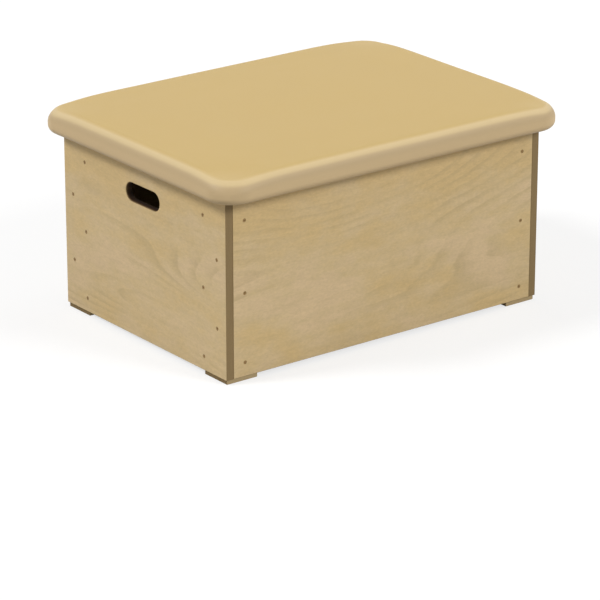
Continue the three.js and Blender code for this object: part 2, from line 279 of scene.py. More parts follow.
class Nodes:
    """A node tree being built, with the one method that adds a node."""

    def __init__(self, tree):
        self.tree = tree

    def node(self, kind, *values, output=0, **named):
        """Adds a node and gives one of its outputs.

        The values fill its sockets in order. Of the named values, those in small letters are the
        node's own settings and the others fill sockets. A list fills one socket with several links."""
        node = self.tree.nodes.new(kind)
        sockets = dict(enumerate(values))
        for name, value in named.items():
            if name.islower():
                setattr(node, name, value)
            else:
                sockets[name] = value
        for key, value in sockets.items():
            socket = find_socket(node.inputs, key)
            for item in value if isinstance(value, list) else [value]:
                if isinstance(item, Socket):
                    self.tree.links.new(item.output, socket)
                else:
                    socket.default_value = item
        return Socket(self, find_socket(node.outputs, output)) if node.outputs else None

    def maths(self, operation, *values):
        return self.node("ShaderNodeMath", *values, operation=operation)

    def vector(self, x, y, z):
        return self.node("ShaderNodeCombineXYZ", x, y, z)


class Surface(Nodes):
    """A material being built on Object coordinates."""

    def __init__(self, name):
        self.material = bpy.data.materials.new(name)
        self.material.use_nodes = True
        self.material.node_tree.nodes.clear()
        super().__init__(self.material.node_tree)
        self.coordinates = self.node("ShaderNodeTexCoord", output="Object")
        split = self.node("ShaderNodeSeparateXYZ", self.coordinates)
        self.place = {axis: split.part(axis) for axis in "XYZ"}

    def slope(self, axis):
        """The surface's direction along an axis, from -1 to 1."""
        return self.node("ShaderNodeSeparateXYZ", self.coordinates.part("Normal"), output=axis)

    def noise(self, place, scale=1.0, detail=2.0, roughness=0.5):
        """Noise from 0 to 1 at a place, which is a vector or a tuple of its three parts."""
        vector = self.vector(*place) if isinstance(place, tuple) else place
        return self.node("ShaderNodeTexNoise", Vector=vector, Scale=scale, Detail=detail,
                         Roughness=roughness, output="Fac")

    def blend(self, factor, first, second):
        """Mixes two colours."""
        first, second = (tone if isinstance(tone, Socket) else (*tone, 1.0) for tone in (first, second))
        return self.node("ShaderNodeMix", data_type="RGBA", Factor_Float=factor, A_Color=first,
                         B_Color=second, output="Result_Color")

    def shade(self, tone, amount):
        """A colour made lighter or darker by a number near 1."""
        return self.node("ShaderNodeVectorMath", operation="SCALE", Vector=tone, Scale=amount)

    def finish(self, base, roughness, height, depth, strength, specular=0.3, metallic=0.0):
        """Closes the material with one Principled shader, in relief by a height, its depth and strength."""
        normal = self.node("ShaderNodeBump", Height=height, Distance=depth, Strength=strength)
        shader = self.node("ShaderNodeBsdfPrincipled", Base_Color=base, Roughness=roughness, Normal=normal,
                           Specular_IOR_Level=specular, Metallic=metallic)
        self.node("ShaderNodeOutputMaterial", shader)
        return self.material


def paint(node, material):
    """Gives a carried-over CAD node its material."""
    obj = frame["nodes"][node]
    obj.data.materials.clear()
    obj.data.materials.append(material)


def late_wood(surface, rings, peak):
    """The dark late part of each growth ring, from 0 to 1, which builds up to its peak and then ends."""
    ring = surface.maths("FRACT", rings)
    return ring.smooth(0.35, peak) * (1.0 - ring.smooth(peak, 1.0))


def plywood(node, axes, face, seed, warm, hole=None):
    """Birch plywood: a rotary-cut veneer on the faces and the stacked plies on every cut edge.

    axes names the axis of the face grain, the other axis of the face and the axis of the thickness.
    The veneer grows warmer between the two places that warm gives on the face's other axis. hole
    gives the extent, on the face's two axes, of a hole whose edges get hand wear and painted shade."""
    woods = bpy.context.scene.vault_woods
    surface = Surface(f"birch_{node}")
    grain, rise, through = (surface.place[axis] for axis in axes)
    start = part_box(node)[0]["XYZ".index(axes[2])]
    depth = through - start

    def figure(along, across, shift, detail=3.0, roughness=0.5):
        """Noise with these scales along and across the grain."""
        return surface.noise((grain * along, rise * across, shift), detail=detail, roughness=roughness)

    sway = figure(4.3, 13.0, seed, roughness=0.6)
    field = surface.noise((grain * 0.80 + seed, rise * 3.8, seed + sway * 0.10), detail=1.0, roughness=0.35)
    ring_count = 0.50 / woods.line_spacing
    late = late_wood(surface, field * ring_count + sway * 0.55, 0.90)
    strength = figure(4.6, 11.0, seed + 4.0).smooth(0.42, 0.68)
    lines = late * (strength * 0.38 + 0.07)

    patch = figure(5.2, 10.0, seed + 9.0, detail=4.0, roughness=0.62)
    warmth = rise.smooth(*warm) * 0.16
    golden = (patch + warmth).smooth(0.44, 0.70)
    rosy = (1.0 - patch - warmth).smooth(0.48, 0.66)
    tone = surface.blend(golden * 0.85, face, woods.face_golden)
    tone = surface.blend(rosy * 0.75, tone, woods.face_rosy)
    tone = surface.blend(lines, tone, woods.face_line)

    fibre = figure(26.0, 620.0, seed + depth * 90.0, roughness=0.62)
    cloud = figure(30.0, 75.0, seed + 2.0, detail=4.0, roughness=0.65)
    streak = figure(7.0, 95.0, seed + 6.0, roughness=0.6)
    flecks = figure(150.0, 1500.0, seed + 5.0, detail=1.0).smooth(0.66, 0.76)
    speckle = figure(130.0, 260.0, seed + 7.0, detail=2.0, roughness=0.7)
    mottle = fibre * 0.08 + cloud * 0.17 + streak * 0.13 + speckle * 0.30 - flecks * 0.07
    veneer = surface.shade(tone, 0.668 + mottle)

    layer = surface.maths("SINE", depth * (math.pi / woods.ply))
    light_ply = layer.smooth(-0.35, 0.35)
    glue = 1.0 - abs(layer).smooth(0.0, 0.3)
    cut = figure(160.0, 160.0, depth * 1400.0, roughness=0.65)
    edge = surface.blend(light_ply, woods.edge_dark, woods.edge_light)
    edge = surface.shade(edge, 0.84 + cut * 0.32 - glue * 0.14)
    # Inside a hand hole the cut edges get hand wear and painted shade.
    if hole is not None:
        edge = handled_and_shaded_edge(surface, edge, axes, max(abs(start), abs(start + SHEET)), hole)

    on_face = abs(surface.slope(axes[2])).smooth(0.80, 0.96)
    base = surface.blend(on_face, edge, veneer)
    height = fibre * 0.7 + cut * (1.0 - on_face) * 1.5 - flecks * 0.5
    roughness = 0.50 + fibre * 0.10 + (1.0 - on_face) * 0.14
    return surface.finish(base, roughness, height, depth=0.00012, strength=0.5, specular=0.35)


def handled_and_shaded_edge(surface, edge, axes, outer, hole):
    """The tone of the cut edges in a hole: darkened by hands, with painted shade that deepens further in from
    the outer face.
    """
    aside, above = (abs(surface.place[axis] - (low + high) / 2) - (high - low) / 2
                    for axis, (low, high) in zip(axes, hole))
    away = surface.maths("MAXIMUM", aside, above)
    inwards = outer - abs(surface.place[axes[2]])
    inside = 1.0 - abs(surface.slope(axes[2])).smooth(0.10, 0.55)
    # grime_and_shade picks the hole's inner walls: partly hand wear, partly painted shade, which darkens more
    # the further in from the outer face.
    grime_and_shade = (1.0 - away.smooth(0.010, 0.018)) * inside
    share = 0.55 + inwards.smooth(0.0, 0.004) * 0.45
    edge = surface.blend(grime_and_shade * share, edge, bpy.context.scene.vault_woods.handled_and_shaded)
    return surface.shade(edge, 1.0 - grime_and_shade * inwards.smooth(0.0, 0.012) * 0.7)


def timber(node, along, pith, seed):
    """Sawn softwood with rings about a pith that lies beside the piece, along one axis."""
    woods = bpy.context.scene.vault_woods
    surface = Surface(f"timber_{node}")
    first, second = (surface.place[axis] for axis in "XYZ" if axis != along)
    grain = surface.place[along]
    wander = surface.noise((first * 8.0, second * 8.0, grain * 2.5 + seed)) - 0.5
    apart = first - pith[0] + wander * 0.012
    beside = second - pith[1] + wander * 0.008
    radius = surface.maths("SQRT", apart * apart + beside * beside)
    late = late_wood(surface, radius / woods.timber_ring, 0.92)
    fibre = surface.noise((first * 700.0, second * 700.0, grain * 22.0 + seed), detail=3.0, roughness=0.6)
    tone = surface.blend(late * 0.8, woods.timber_light, woods.timber_dark)
    tone = surface.shade(tone, 0.90 + fibre * 0.20)
    end = abs(surface.slope(along)).smooth(0.75, 0.95)
    tone = surface.blend(end * 0.35, tone, woods.timber_dark)
    return surface.finish(tone, 0.58 + fibre * 0.14, fibre + late * 0.5, depth=0.00018, strength=0.5)


def foot_wood():
    """Feet of hardwood: pale along the grain, dark and slant-hatched on the end grain."""
    woods = bpy.context.scene.vault_woods
    surface = Surface("foot_wood")
    x, y, z = surface.place.values()
    fibre = surface.noise((x * 30.0, y * 520.0, z * 520.0), detail=3.0, roughness=0.6)
    cloud = surface.noise((x * 12.0, y * 60.0, z * 60.0))
    side = surface.blend(cloud.smooth(0.42, 0.75) * 0.45, woods.foot_side, woods.timber_dark)
    side = surface.shade(side, 0.86 + fibre * 0.24)
    slant = surface.maths("SINE", (y + z * 0.8) * (math.tau / woods.foot_hatch) + cloud * 5.0)
    hatch = slant.smooth(-0.2, 0.7)
    pores = surface.noise((x * 400.0, y * 900.0, z * 900.0))
    end = surface.shade(surface.blend(hatch * 0.55, woods.foot_end, woods.edge_light), 0.78 + pores * 0.34)
    on_end = abs(surface.slope("X")).smooth(0.6, 0.9)
    base = surface.blend(on_end, side, end)
    under = 1.0 - z.smooth(0.0002, 0.0012)
    scuff = surface.noise((x * 45.0, y * 45.0, z), detail=4.0).smooth(0.45, 0.7)
    base = surface.shade(base, 1.0 - under * scuff * 0.25)
    return surface.finish(base, 0.62 + fibre * 0.12, fibre + pores * on_end, depth=0.0002, strength=0.5)


def cover_finish():
    """Smooth coated cloth with a fine pebbled grain, and painted light by slope: a paler painted highlight
    over the upper edge, painted shade just under it, a greyer tone set for the light on the sides, and
    painted shade below.
    """
    pad = bpy.context.scene.vault_pad
    surface = Surface("padded_cover")
    place = surface.coordinates
    broad = surface.noise(place, 5.0, detail=3.0, roughness=0.55)
    weave = surface.noise(place, 210.0)
    pebble = surface.node("ShaderNodeTexVoronoi", feature="DISTANCE_TO_EDGE", Vector=place, Scale=780.0,
                          Randomness=0.9, output="Distance")
    furrow = 1.0 - pebble.smooth(0.0, 0.16)

    # The painted highlight and shade below follow the surface's slope. The slope of the upper edge that its
    # height alone gives evens out the settled cover's own slope.
    rise = surface.slope("Z")
    shoulder = COVER_HIGH.z - pad.crown
    up = surface.place["Z"].rising(shoulder - pad.top_round, shoulder)
    steep = up ** (pad.top_fullness - 1)
    flat = (1.0 - up ** pad.top_fullness) ** (1 - 1 / pad.top_fullness)
    usual = steep / surface.maths("SQRT", steep * steep + flat * flat)
    edge = rise * 0.8 + usual * 0.2

    # Painted light by slope: a painted highlight over the upper edge, painted shade just under it, the sides'
    # tone for the light they get, and painted shade on the underside (under).
    edge_highlight = 1.0 - edge.smooth(0.86, 0.995)
    turn_shade = 1.0 - edge.smooth(0.50, 0.74)
    side_shading = 1.0 - edge.smooth(-0.10, 0.42)
    under = 1.0 - rise.smooth(-0.85, -0.05)
    tone = surface.blend(edge_highlight, pad.cover_top, pad.cover_edge_highlight)
    tone = surface.blend(turn_shade, tone, pad.cover_turn_shade)
    tone = surface.blend(side_shading, tone, pad.cover_side_shading)
    level = 0.968 + broad * 0.04 + weave * 0.03 - furrow * 0.03
    tone = surface.shade(tone, level - under * 0.17)
    return surface.finish(tone, 0.46 + broad * 0.06 + furrow * 0.10, weave * 0.5 - furrow, depth=0.00010,
                          strength=0.35)


def foam_finish():
    """Open-celled foam."""
    pad = bpy.context.scene.vault_pad
    surface = Surface("pad_foam")
    cell = surface.node("ShaderNodeTexVoronoi", Vector=surface.coordinates, Scale=620.0, output="Distance")
    broad = surface.noise(surface.coordinates, 14.0, detail=3.0)
    tone = surface.blend(cell.smooth(0.1, 0.7), pad.foam, pad.cover_side_shading)
    tone = surface.shade(tone, 0.90 + broad * 0.18)
    return surface.finish(tone, 0.85 + cell * 0.1, cell, depth=0.0006, strength=0.8, specular=0.1)


def metal_finish(name, tone, grit):
    """Plated steel with fine rolling marks and a dulled patchy shine."""
    surface = Surface(name)
    patch = surface.noise(surface.coordinates, 260.0, detail=3.0, roughness=0.6)
    scratch = surface.noise(surface.coordinates, grit)
    base = surface.blend(patch, tone, tuple(0.82 * channel for channel in tone))
    base = surface.shade(base, 0.90 + scratch * 0.2)
    return surface.finish(base, 0.26 + patch * 0.22, scratch, depth=0.00003, strength=0.4, specular=0.5,
                          metallic=0.9)


def shadow_ring_finish():
    """A dark, flecked painted shadow for the ring round a screw's head."""
    surface = Surface("crushed_veneer")
    fleck = surface.noise(surface.coordinates, 900.0, detail=3.0, roughness=0.7)
    tone = surface.shade(tuple(bpy.context.scene.vault_fixings.shadow_ring_tone), 0.70 + fleck * 0.60)
    return surface.finish(tone, 0.70 + fleck * 0.15, fleck, depth=0.0002, strength=0.6, specular=0.2)


def corner_share(away):
    """How much of a corner's own form a place has: 1 at the corner's middle, fading with distance."""
    return math.exp(-(away / bpy.context.scene.vault_pad.corner_reach) ** 2)


def level_ring(inset, radius, fineness):
    """Points round the pad at an inset from the cover's box, with round corners, anticlockwise from
    above, each as x, y and its corner share."""
    arc = bpy.context.scene.vault_pad.corner_radius * math.pi / 2
    ring = []
    for quarter, (sign_x, sign_y) in enumerate(((1, 1), (-1, 1), (-1, -1), (1, -1))):
        centre_x = sign_x * (COVER_HIGH.x - inset - radius)
        centre_y = sign_y * (COVER_HIGH.y - inset - radius)
        for step in range(fineness.corner + 1):
            turn = step / fineness.corner
            angle = (quarter + turn) * math.pi / 2
            ring.append((centre_x + radius * math.cos(angle), centre_y + radius * math.sin(angle),
                         corner_share(abs(turn - 0.5) * arc)))
        start_x, start_y, _ = ring[-1]
        if quarter % 2:
            side_steps, move_x, move_y = fineness.short, 0.0, -2 * start_y
        else:
            side_steps, move_x, move_y = fineness.long, -2 * start_x, 0.0
        for step in range(1, side_steps):
            along = step / side_steps
            nearest = min(along, 1 - along) * abs(move_x + move_y)
            ring.append((start_x + move_x * along, start_y + move_y * along,
                         corner_share(arc / 2 + nearest)))
    return ring


def between(start, end, share):
    """Where a line from one point of a ring to another is, as x and y, at a share of its way."""
    return [first + (last - first) * share for first, last in zip(start[:2], end[:2])]


def raise_ring(ring, height):
    """The ring's points at a height."""
    return [Vector((x, y, height)) for x, y, _ in ring]


def lofted_mesh(name, rings, first, last):
    """A closed skin through rings of equal count, closed at each end on a point."""
    mesh = bmesh.new()
    loops = [[mesh.verts.new(point) for point in ring] for ring in rings]
    count = len(loops[0])
    start = mesh.verts.new(first)
    end = mesh.verts.new(last)
    for place in range(count):
        beside = (place + 1) % count
        mesh.faces.new((start, loops[0][beside], loops[0][place]))
        for low, high in zip(loops, loops[1:]):
            mesh.faces.new((low[place], low[beside], high[beside], high[place]))
        mesh.faces.new((end, loops[-1][place], loops[-1][beside]))
    for face in mesh.faces:
        face.smooth = True
    return free_mesh(name, mesh)


def free_mesh(name, mesh):
    """A bmesh as plain mesh data."""
    data = bpy.data.meshes.new(name)
    mesh.to_mesh(data)
    mesh.free()
    return data


def add_object(name, data, material=None):
    obj = bpy.data.objects.new(name, data)
    bpy.context.scene.collection.objects.link(obj)
    if material is not None:
        data.materials.clear()
        data.materials.append(material)
    return obj


def applied(obj):
    """The mesh that an object's modifiers make of it. The object itself is removed."""
    graph = bpy.context.evaluated_depsgraph_get()
    data = bpy.data.meshes.new_from_object(obj.evaluated_get(graph))
    bpy.data.objects.remove(obj)
    return data


def pad_ring(inset, fineness, radius=None):
    """A ring at an inset from the pad's sides, round the same corner centres or with its own radius."""
    pad = bpy.context.scene.vault_pad
    inset += pad.slack
    if radius is None:
        radius = pad.corner_radius - inset
    return level_ring(inset, radius, fineness)


def pad_skin(depth, fineness):
    """The pad's skin at a depth inside its outer face: rings from its lower edge up, and its peak."""
    pad = bpy.context.scene.vault_pad
    shoulder = COVER_HIGH.z - pad.crown - pad.slack
    outer = pad_ring(0.0, fineness)
    rim = pad_ring(pad.top_round, fineness, pad.rim_corner)
    inner = pad_ring(pad.top_round, fineness)
    rings = []
    for step in range(fineness.bottom + 1):
        angle = step / fineness.bottom * math.pi / 2
        ring = []
        for start, end in zip(outer, inner):
            round_here = pad.bottom_round + (pad.corner_bottom - pad.bottom_round) * start[2]
            radius = round_here - depth
            inset = (round_here - radius * math.sin(angle)) / pad.top_round
            height = COVER_LOW.z + round_here - radius * math.cos(angle)
            ring.append(Vector((*between(start, end, inset), height)))
        rings.append(ring)
    for step in range(fineness.top + 1):
        tilt = (1 - step / fineness.top) * math.pi / 2
        ring = []
        for start, end in zip(rim, outer):
            fullness = pad.top_fullness + (pad.corner_fullness - pad.top_fullness) * end[2]
            out, up = full_round(tilt, fullness)
            out -= depth * math.sin(tilt) / pad.top_round
            height = shoulder - pad.top_round * (1 - up) - depth * math.cos(tilt)
            point = Vector((*between(start, end, out), height))
            point.z -= pad.corner_drop * up * corner_share(from_corner(point))
            ring.append(point)
        rings.append(ring)
    for step in range(1, fineness.crown):
        spread = 1 - step / fineness.crown
        height = shoulder - depth + pad.crown * (1 - spread ** 2)
        ring = [Vector((x * spread, y * spread, height)) for x, y, _ in rim]
        for point in ring:
            point.z -= pad.corner_drop * corner_share(from_corner(point))
        rings.append(ring)
    peak = Vector((0.0, 0.0, shoulder + pad.crown - depth))
    for point in [peak, *(point for ring in rings[fineness.bottom + 1:] for point in ring)]:
        point.z += pad.unevenness * noise.noise(Vector((point.x, point.y, 0.0)) / pad.uneven_spacing)
    return rings, peak


def from_corner(point):
    """How far a point is, seen from above, from the middle of the nearest corner's upper edge."""
    pad = bpy.context.scene.vault_pad
    inset = pad.top_round + pad.rim_corner * (1 - math.sqrt(0.5))
    return math.hypot(abs(point.x) - COVER_HIGH.x + inset, abs(point.y) - COVER_HIGH.y + inset)


def full_round(tilt, fullness):
    """A point of a quarter round of unit size, as out and up, where the surface tilts by an angle from
    level. A fullness of two is a circle, and a higher one is squarer."""
    if tilt > math.pi / 2 - 1e-6:
        return 1.0, 0.0
    ratio = math.tan(tilt) ** (1 / (fullness - 1))
    up = (1 + ratio ** fullness) ** (-1 / fullness)
    return ratio * up, up


@functools.cache
def settled_cloth():
    """Lets a closed copy of the cover press out as cloth, held along its lower edge, and gives where its
    points started and how far each one moved."""
    scene = bpy.context.scene
    pad = scene.vault_pad
    rings, peak = pad_skin(0.0, CLOTH_FINENESS)
    middle = Vector((0.0, 0.0, COVER_LOW.z))
    shape = add_object("cloth_shape", lofted_mesh("cloth_shape", rings, middle, peak))
    cells = shape.modifiers.new("cells", "REMESH")
    cells.mode = "VOXEL"
    cells.voxel_size = pad.cloth_cell
    data = applied(shape)

    cloth = add_object("cloth_copy", data)
    held = cloth.vertex_groups.new(name="held")
    for vertex in data.vertices:
        free = (vertex.co.z - COVER_LOW.z) / pad.bottom_round
        held.add([vertex.index], 1.0 - min(max(free, 0.0), 1.0), "REPLACE")
    modifier = cloth.modifiers.new("cloth", "CLOTH")
    settings = modifier.settings
    settings.quality = 5
    settings.tension_stiffness = 30.0
    settings.compression_stiffness = 30.0
    settings.shear_stiffness = 15.0
    settings.bending_stiffness = 2.0
    settings.vertex_group_mass = held.name
    settings.use_pressure = True
    settings.uniform_pressure_force = pad.cloth_pressure
    settings.effector_weights.gravity = 0.0
    modifier.collision_settings.use_collision = False
    modifier.point_cache.frame_start = 1
    modifier.point_cache.frame_end = CLOTH_FRAMES
    for step in range(1, CLOTH_FRAMES + 1):
        scene.frame_set(step)
    start = [vertex.co.copy() for vertex in data.vertices]
    moved = [vertex.co.copy() for vertex in applied(cloth).vertices]
    scene.frame_set(1)

    tree = kdtree.KDTree(len(start))
    for place, point in enumerate(start):
        tree.insert(point, place)
    tree.balance()
    moves = [new - old for old, new in zip(start, moved)]
    share = min(1.0, pad.cloth_reach / max(move.length for move in moves))
    return tree, [move * share for move in moves]


def settle(rings, peak):
    """Moves the skin's points as the cloth near them moved, with the moves evened out between them."""
    tree, moves = settled_cloth()
    spread = bpy.context.scene.vault_pad.cloth_cell * SETTLE_SPREAD
    for point in [peak, *(point for ring in rings for point in ring)]:
        total = 0.0
        move = Vector((0.0, 0.0, 0.0))
        for _, place, away in tree.find_range(point, spread * SETTLE_REACH):
            weight = math.exp(-(away / spread) ** 2)
            total += weight
            move += moves[place] * weight
        if total > 0.0:
            point += move / total


def hem_rings():
    """The turned hem under the top, from its inner edge out, gathered into pleats at the corners."""
    pad = bpy.context.scene.vault_pad
    inner = level_ring(pad.hem_width, pad.hem_corner, COVER_FINENESS)
    outer = pad_ring(pad.bottom_round, COVER_FINENESS)
    band = pad.hem_fold / (pad.hem_width - pad.bottom_round)
    # How far out each ring is, how high it is over the cover's underside, and its share of the pleats
    profile = [(0.0, COVER_THICKNESS, 0.0), (0.0, 0.0, 1.0), (0.04, -HEM_FOLD_DEPTH, 1.0),
               (band * 0.5, -HEM_FOLD_DEPTH, 0.9), (band * 0.94, -HEM_FOLD_DEPTH, 0.7), (band, 0.0, 0.6),
               ((1 + band) / 2, 0.0, 0.3)]
    rings = []
    for out, lift, gather in profile:
        ring = []
        for start, end in zip(inner, outer):
            x, y = between(start, end, out)
            angle = math.atan2(y - math.copysign(COVER_HIGH.y - pad.corner_radius, y),
                               x - math.copysign(COVER_HIGH.x - pad.corner_radius, x))
            wave = 0.5 - 0.5 * math.cos(4 * angle * pad.pleats)
            sag = pad.pleat_depth * gather * wave * start[2] ** 2
            ring.append(Vector((x, y, COVER_LOW.z + lift - sag)))
        rings.append(ring)
    return rings


class VAULT_OT_panels(bpy.types.Operator):
    """Gives the four panels their birch plywood, each with a figure of its own"""
    bl_idname = "vault.panels"
    bl_label = "Plywood panels"

    def execute(self, context):
        face = tuple(context.scene.vault_woods.face_plain)
        warm = (SIDE_LOW.z + 0.55 * (SIDE_HIGH.z - SIDE_LOW.z), SIDE_HIGH.z)
        hole = tuple(zip(*HAND_HOLE["box_m"]))[1:]
        for node, axes, seed, handled_and_shaded in (("front_side_panel", "XZY", 3.7, None),
                                          ("back_side_panel", "XZY", 17.2, None),
                                          ("left_end_panel", "YZX", 8.4, hole),
                                          ("right_end_panel", "YZX", 26.9, hole)):
            paint(node, plywood(node, axes, face, seed, warm, handled_and_shaded))
        return {"FINISHED"}


class VAULT_OT_timber(bpy.types.Operator):
    """Gives the corner posts and the battens their sawn softwood"""
    bl_idname = "vault.timber"
    bl_label = "Posts and battens"

    def execute(self, context):
        for place, node in enumerate(sorted(frame["nodes"])):
            low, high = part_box(node)
            if node.startswith("corner_post_"):
                beside = 0.03 + 0.01 * (place % 3)
                material = timber(node, "Z", pith=(low.x - beside, high.y + 0.025), seed=place * 1.7)
            elif node.endswith("_batten"):
                material = timber(node, "X", pith=(low.y - 0.02, high.z + 0.04), seed=place * 1.7)
            else:
                continue
            paint(node, material)
        return {"FINISHED"}


class VAULT_OT_feet(bpy.types.Operator):
    """Gives the four feet their hardwood"""
    bl_idname = "vault.feet"
    bl_label = "Feet"

    def execute(self, context):
        material = foot_wood()
        for node in frame["nodes"]:
            if node.startswith("foot_") and node not in SCREW_NODES:
                paint(node, material)
        return {"FINISHED"}


class VAULT_OT_deck(bpy.types.Operator):
    """Gives the deck board under the padding its plywood"""
    bl_idname = "vault.deck"
    bl_label = "Deck board"

    def execute(self, context):
        face = tuple(context.scene.vault_woods.deck_face)
        paint("deck_board", plywood("deck_board", "XYZ", face, seed=33.3, warm=(DECK_LOW.y, DECK_HIGH.y)))
        return {"FINISHED"}


class VAULT_OT_foam(bpy.types.Operator):
    """Makes the foam of the padded top, with its pocket for the deck board"""
    bl_idname = "vault.foam"
    bl_label = "Foam"

    def execute(self, context):
        deck_inset = COVER_HIGH.x - DECK_HIGH.x - CLOSE_FIT
        pocket = pad_ring(deck_inset, FOAM_FINENESS)
        rings, peak = pad_skin(COVER_THICKNESS + CLOSE_FIT, FOAM_FINENESS)
        settle(rings, peak)
        rings = [raise_ring(pocket, DECK_HIGH.z), raise_ring(pocket, DECK_LOW.z + CLOSE_FIT), *rings]
        data = lofted_mesh("foam_core", rings, Vector((0.0, 0.0, DECK_HIGH.z)), peak)
        foam = add_object("foam_core", data, foam_finish())
        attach(foam, "padded_top")
        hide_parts("foam_pad")
        return {"FINISHED"}


class VAULT_OT_cover(bpy.types.Operator):
    """Makes the cover of the padded top, turned under and gathered at its corners"""
    bl_idname = "vault.cover"
    bl_label = "Padded cover"

    def execute(self, context):
        outer, peak = pad_skin(0.0, COVER_FINENESS)
        inner, inner_peak = pad_skin(COVER_THICKNESS, COVER_FINENESS)
        settle(outer, peak)
        settle(inner, inner_peak)
        rings = [*reversed(inner), *hem_rings(), *outer]
        data = lofted_mesh("padded_cover", rings, inner_peak, peak)
        cover = add_object("padded_cover", data, cover_finish())
        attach(cover, "padded_top")
        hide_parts("pad_cover")
        return {"FINISHED"}


class GeometryTree(Nodes):
    """A Geometry Nodes tree being built. Its inputs are the points or path that carries its copies, some
    lengths, the sides of a round part, the random seed and the material."""

    def __init__(self, name, *lengths):
        super().__init__(bpy.data.node_groups.new(name, "GeometryNodeTree"))
        kinds = {"Geometry": "Geometry", **dict.fromkeys(lengths, "Float"), "sides": "Int", "seed": "Int",
                 "material": "Material"}
        new_socket = self.tree.interface.new_socket
        self.identifiers = {
            label: new_socket(label, in_out="INPUT", socket_type=f"NodeSocket{kind}").identifier
            for label, kind in kinds.items()}
        new_socket("Geometry", in_out="OUTPUT", socket_type="NodeSocketGeometry")
        self.entry = self.node("NodeGroupInput")

    def value(self, label):
        return self.entry.part(label)

    def circle(self, sides, radius):
        return self.node("GeometryNodeCurvePrimitiveCircle", Resolution=sides, Radius=radius)

    def swept(self, path, profile, scale):
        """A closed tube: the profile carried along the path, at a scale that may vary along it."""
        return self.node("GeometryNodeCurveToMesh", Curve=path, Profile_Curve=profile, Scale=scale,
                         Fill_Caps=True)

    def scatter(self, shape, points, stand, space, least, most):
        """Ends the tree with its shape on each point, as real geometry with its material. Each copy has
        the rotation stand and a random turn between two angles about the Z axis of a space."""
        angle = self.node("FunctionNodeRandomValue", data_type="FLOAT", Min_001=least, Max_001=most,
                          Seed=self.value("seed"), output="Value_001")
        turn = self.node("FunctionNodeAxisAngleToRotation", Axis=(0.0, 0.0, 1.0), Angle=angle)
        rotation = self.node("FunctionNodeRotateRotation", rotation_space=space, Rotation=stand,
                             Rotate_By=turn)
        copies = self.node("GeometryNodeInstanceOnPoints", Points=points, Instance=shape, Rotation=rotation)
        real = self.node("GeometryNodeRealizeInstances", copies)
        painted = self.node("GeometryNodeSetMaterial", Geometry=real, Material=self.value("material"))
        self.node("NodeGroupOutput", painted)

    def set_on_heads(self, shape):
        """Ends the tree with its shape on each point, along that point's outward direction."""
        outward = self.node("GeometryNodeInputNamedAttribute", data_type="FLOAT_VECTOR", Name="outward",
                            output="Attribute")
        stand = self.node("FunctionNodeAlignRotationToVector", axis="Z", Vector=outward)
        self.scatter(shape, self.value("Geometry"), stand, "LOCAL", 0.0, math.pi)

    def run(self, name, carrier, material, sides, **lengths):
        """The tree's result on a carrier mesh, as a plain mesh object. Its inputs that aren't given here
        are the fixings' settings of the same names."""
        given = {"material": material, "sides": sides, **lengths}
        source = add_object(f"{name}_source", carrier)
        modifier = source.modifiers.new(name, "NODES")
        modifier.node_group = self.tree
        for label, identifier in self.identifiers.items():
            if label in given:
                modifier[identifier] = given[label]
            elif label != "Geometry":
                modifier[identifier] = getattr(bpy.context.scene.vault_fixings, label)
        data = applied(source)
        data.name = name
        if not data.polygons:
            raise RuntimeError(f"{name} came out empty")
        return add_object(name, data)


def screw_tree():
    """Countersunk screws with a cross recess, one on each head's point."""
    tree = GeometryTree("countersunk_screws", "length", "head", "head_depth", "shank", "thread_depth",
                        "tip", "recess_width", "recess_depth")
    length = tree.value("length")
    shank = tree.value("shank") * 0.5
    head = tree.value("head") * 0.5
    step = length / (SCREW_RINGS - 1)
    line = tree.node("GeometryNodeMeshLine", mode="OFFSET", Count=SCREW_RINGS,
                     Offset=tree.vector(0.0, 0.0, 0.0 - step))
    place = tree.node("GeometryNodeInputIndex")
    down = place * step
    cone = head - (head - shank) * down / tree.value("head_depth")
    ridge = tree.maths("PINGPONG", place, THREAD_PITCH_RINGS / 2) / (THREAD_PITCH_RINGS / 2)
    thread = shank - tree.value("thread_depth") * ridge
    point = shank * (length - down) / tree.value("tip") + shank * 0.06
    radius = tree.maths("MAXIMUM", cone, tree.maths("MINIMUM", thread, point))
    path = tree.node("GeometryNodeMeshToCurve", Mesh=line)
    blank = tree.swept(path, tree.circle(tree.value("sides"), 1.0), radius)

    width = tree.value("recess_width")
    depth = tree.value("recess_depth")
    arms = []
    for turn in (0.0, math.pi / 2):
        arm = tree.node("GeometryNodeMeshCone", Vertices=4, Radius_Top=width * 0.56,
                        Radius_Bottom=width * 0.20, Depth=depth * 1.1)
        arms.append(tree.node("GeometryNodeTransform", Geometry=arm, Rotation=(0.0, 0.0, turn),
                              Translation=tree.vector(0.0, 0.0, depth * -1.0), Scale=(1.0, 0.30, 1.0)))
    tree.set_on_heads(tree.node("GeometryNodeMeshBoolean", operation="DIFFERENCE", solver="EXACT",
                                Mesh_1=blank, Mesh_2=arms, output="Mesh"))
    return tree


def shadow_ring_tree():
    """A dark ring round each screw's head that stands for the shade in the countersink's gap."""
    tree = GeometryTree("screw_rims", "head", "rim_wire")
    wire = tree.value("rim_wire") * 0.5
    path = tree.circle(tree.value("sides"), tree.value("head") * 0.5 + wire * 0.6)
    ring = tree.swept(path, tree.circle(WIRE_SIDES, wire), 1.0)
    tree.set_on_heads(tree.node("GeometryNodeTransform", Geometry=ring,
                                Translation=tree.vector(0.0, 0.0, wire * -0.65)))
    return tree


